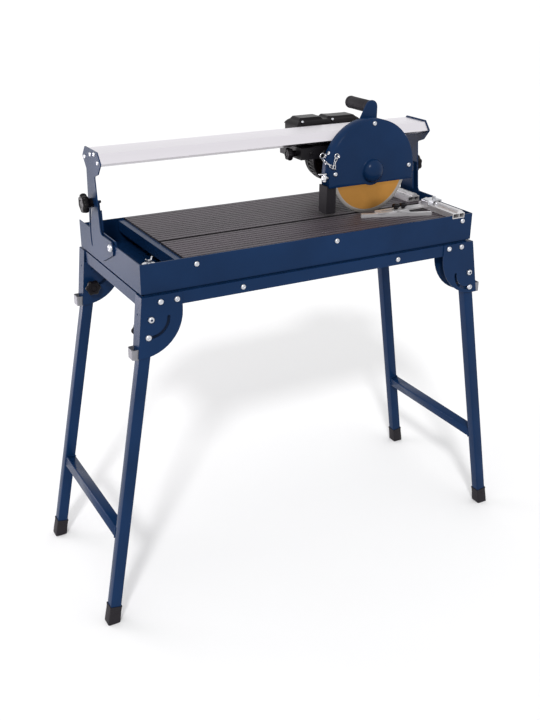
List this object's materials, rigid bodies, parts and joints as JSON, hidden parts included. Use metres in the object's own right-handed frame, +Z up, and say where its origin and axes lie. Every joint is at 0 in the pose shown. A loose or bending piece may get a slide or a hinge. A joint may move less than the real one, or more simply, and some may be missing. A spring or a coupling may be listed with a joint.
{
  "type": "radial wet tile cutter with folding stand",
  "caption": "Wet tile cutter: a saw head slides along an aluminium rail over a water tray and ribbed tables, the rail tilts for bevels, and the splayed legs fold up under the tray.",
  "frame": {"origin": "on the floor, under the middle of the water tray", "axes": "+X along the cut towards the end where the head is parked, +Y from the user towards the motor, +Z up"},
  "size_m": [1.0554, 0.407, 1.0322],
  "materials": {
    "blue_paint": "navy powder coat, satin",
    "aluminium": "satin extrusion",
    "table_alloy": "dark ribbed, matt",
    "black_plastic": "moulded, satin",
    "black_steel": "black, satin",
    "rubber": "matt",
    "zinc": "bright zinc plate",
    "blade_gold": "gold coated, printed mark left out"
  },
  "bodies": {
    "base": {"tray": "blue_paint", "table_front": "table_alloy", "table_back": "table_alloy", "table_support": "blue_paint", "underframe": "blue_paint", "leg_bracket_front_left": "blue_paint", "leg_bracket_back_left": "blue_paint", "leg_bracket_front_right": "blue_paint", "leg_bracket_back_right": "blue_paint", "tilt_bracket_left": "blue_paint", "tilt_bracket_right": "blue_paint", "fence_front": "aluminium", "fence_back": "aluminium"},
    "rail_frame": {"rail": "aluminium", "pillar_left": "blue_paint", "pillar_right": "blue_paint"},
    "saw_head": {"carriage_body": "black_steel", "gear_housing": "black_steel", "motor_housing": "black_plastic", "motor_end_cover": "black_plastic", "switch_box": "black_plastic", "guard_shell": "blue_paint", "guard_cover": "blue_paint", "handle_plate": "blue_paint", "handle_grip": "rubber", "splash_flap": "rubber", "water_tap": "zinc"},
    "blade_set": {"blade": "blade_gold", "arbor": "zinc"},
    "rollers_left": {"roller_pair_left": "zinc"},
    "rollers_right": {"roller_pair_right": "zinc"},
    "carriage_lock": {"carriage_knob": "black_plastic"},
    "tap_handle": {"tap_lever": "zinc"},
    "switch": {"switch_button": "black_plastic"},
    "pin": {"lock_pin": "zinc"},
    "left_legs": {"leg_front_left": "blue_paint", "leg_back_left": "blue_paint", "crossbar_left": "blue_paint", "foot_front_left": "rubber", "foot_back_left": "rubber"},
    "right_legs": {"leg_front_right": "blue_paint", "leg_back_right": "blue_paint", "crossbar_right": "blue_paint", "foot_front_right": "rubber", "foot_back_right": "rubber"},
    "front_left_leg_lock": {"leg_knob_front_left": "black_plastic"},
    "back_left_leg_lock": {"leg_knob_back_left": "black_plastic"},
    "front_right_leg_lock": {"leg_knob_front_right": "black_plastic"},
    "back_right_leg_lock": {"leg_knob_back_right": "black_plastic"},
    "left_tilt_lock": {"tilt_knob_left": "black_plastic"},
    "right_tilt_lock": {"tilt_knob_right": "black_plastic"},
    "angle_stop": {"stop_clamp": "zinc", "stop_arm": "aluminium"},
    "stop_bar_group": {"stop_bar": "aluminium"},
    "swivel_lock": {"stop_knob_swivel": "black_plastic"},
    "slot_lock": {"stop_knob_slot": "black_plastic"},
    "drain": {"drain_plug": "zinc"}
  },
  "joints": [
    {"name": "rail_tilt", "type": "hinge", "parent": "base", "child": "rail_frame", "pos_m": [0, -0.031, 0.787], "axis": [1, 0, 0], "range_deg": [0, 45]},
    {"name": "carriage_slide", "type": "slide", "parent": "rail_frame", "child": "saw_head", "axis": [1, 0, 0], "range_m": [-0.415, 0.06]},
    {"name": "blade_spin", "type": "hinge", "parent": "saw_head", "child": "blade_set", "pos_m": [0.217, -0.031, 0.883], "axis": [0, 1, 0], "continuous": true},
    {"name": "roller_left_spin", "type": "hinge", "parent": "saw_head", "child": "rollers_left", "pos_m": [0.097, 0.056, 0.9523], "axis": [0, 1, 0], "range_deg": [-2400, 360]},
    {"name": "roller_right_spin", "type": "hinge", "parent": "saw_head", "child": "rollers_right", "pos_m": [0.259, 0.056, 0.9523], "axis": [0, 1, 0], "range_deg": [-2400, 360]},
    {"name": "carriage_lock_turn", "type": "hinge", "parent": "saw_head", "child": "carriage_lock", "pos_m": [0.059, 0.036, 0.9215], "axis": [1, 0, 0], "range_deg": [-90, 0]},
    {"name": "tap_turn", "type": "hinge", "parent": "saw_head", "child": "tap_handle", "pos_m": [0.094, -0.036, 0.8725], "axis": [0, 0, 1], "range_deg": [0, 90]},
    {"name": "switch_press", "type": "slide", "parent": "saw_head", "child": "switch", "axis": [1, 0, 0], "range_m": [-0.003, 0]},
    {"name": "pin_pull", "type": "slide", "parent": "saw_head", "child": "pin", "axis": [1, 0, 0], "range_m": [-0.015, 0]},
    {"name": "left_legs_fold", "type": "hinge", "parent": "base", "child": "left_legs", "pos_m": [-0.3894, 0, 0.6829], "axis": [0, 1, 0], "range_deg": [-100.3, 0]},
    {"name": "right_legs_fold", "type": "hinge", "parent": "base", "child": "right_legs", "pos_m": [0.4029, 0, 0.6548], "axis": [0, 1, 0], "range_deg": [0, 99.59]},
    {"name": "front_left_leg_lock_turn", "type": "hinge", "parent": "left_legs", "child": "front_left_leg_lock", "pos_m": [-0.39619, -0.1695, 0.64551], "axis": [0, 1, 0], "range_deg": [-90, 90]},
    {"name": "back_left_leg_lock_turn", "type": "hinge", "parent": "left_legs", "child": "back_left_leg_lock", "pos_m": [-0.39619, 0.1695, 0.64551], "axis": [0, 1, 0], "range_deg": [-90, 90]},
    {"name": "front_right_leg_lock_turn", "type": "hinge", "parent": "right_legs", "child": "front_right_leg_lock", "pos_m": [0.40923, -0.1695, 0.61733], "axis": [0, 1, 0], "range_deg": [-90, 90]},
    {"name": "back_right_leg_lock_turn", "type": "hinge", "parent": "right_legs", "child": "back_right_leg_lock", "pos_m": [0.40923, 0.1695, 0.61733], "axis": [0, 1, 0], "range_deg": [-90, 90]},
    {"name": "left_tilt_lock_turn", "type": "hinge", "parent": "base", "child": "left_tilt_lock", "pos_m": [-0.4, 0.06976, 0.85755], "axis": [1, 0, 0], "range_deg": [-90, 90]},
    {"name": "right_tilt_lock_turn", "type": "hinge", "parent": "base", "child": "right_tilt_lock", "pos_m": [0.4, 0.06976, 0.85755], "axis": [1, 0, 0], "range_deg": [-90, 90]},
    {"name": "stop_slide", "type": "slide", "parent": "base", "child": "angle_stop", "axis": [0, 1, 0], "range_m": [-0.02, 0]},
    {"name": "stop_swivel", "type": "hinge", "parent": "angle_stop", "child": "stop_bar_group", "pos_m": [0.28, -0.082, 0.7943], "axis": [0, 0, 1], "range_deg": [-12, 40]},
    {"name": "swivel_lock_turn", "type": "hinge", "parent": "angle_stop", "child": "swivel_lock", "pos_m": [0.28, -0.082, 0.7943], "axis": [0, 0, 1], "range_deg": [-90, 90]},
    {"name": "slot_lock_turn", "type": "hinge", "parent": "angle_stop", "child": "slot_lock", "pos_m": [0.26, -0.082, 0.7943], "axis": [0, 0, 1], "range_deg": [-90, 90]},
    {"name": "drain_turn", "type": "hinge", "parent": "base", "child": "drain", "pos_m": [-0.3675, -0.136, 0.733], "axis": [0, 0, 1], "range_deg": [-90, 90]}
  ],
  "couplings": [
    {"joint": "roller_left_spin", "follows": "carriage_slide", "rad_per_m": 100},
    {"joint": "roller_right_spin", "follows": "carriage_slide", "rad_per_m": 100}
  ]
}
